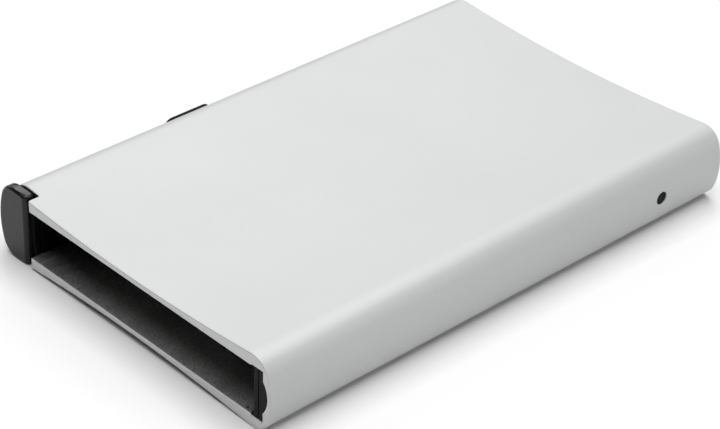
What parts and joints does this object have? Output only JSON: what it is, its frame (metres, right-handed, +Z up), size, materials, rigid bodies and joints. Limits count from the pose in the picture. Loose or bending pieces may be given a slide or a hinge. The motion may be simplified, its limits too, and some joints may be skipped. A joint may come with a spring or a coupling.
{
  "type": "slide-out card case",
  "caption": "Slim extruded aluminium card case with dished faces; a thumb slider on one edge drives a stepped ejector that fans bank cards out of the open mouth.",
  "frame": {"origin": "middle of the overall footprint, on the plane that the four shoulder lands rest on", "axes": "+X across the width, away from the thumb knob; +Y along the length, from the open mouth to the closed end; +Z up through the thickness"},
  "size_m": [0.068, 0.102, 0.0133],
  "materials": {
    "anodised_aluminium": "fine bead-blasted, clear silver anodised, satin",
    "liner_plastic": "black moulded, fine spark texture",
    "cap_plastic": "charcoal black moulded, satin",
    "ejector_plastic": "dark grey acetal, semi-matte",
    "spring_steel": "rolled spring strip",
    "plated_steel": "nickel plated",
    "felt": "short black felt",
    "foam": "closed-cell black foam"
  },
  "bodies": {
    "case": {"case_tube": "anodised_aluminium", "right_side_liner": "liner_plastic", "left_guide_rail": "liner_plastic", "mouth_corner_cap": "cap_plastic", "end_plug": "liner_plastic", "end_bumper": "foam", "retaining_pegs": "cap_plastic", "card_edge_spring": "spring_steel", "floor_pad": "felt", "ceiling_pad": "felt"},
    "slider": {"thumb_knob": "cap_plastic", "slide_carriage": "liner_plastic", "knob_screw": "plated_steel", "drive_strip": "spring_steel", "strip_rivet": "plated_steel", "drag_spring": "spring_steel", "stepped_ejector": "ejector_plastic"}
  },
  "joints": [
    {"name": "knob_slide", "type": "slide", "parent": "case", "child": "slider", "axis": [0, -1, 0], "range_m": [0, 0.027]}
  ]
}
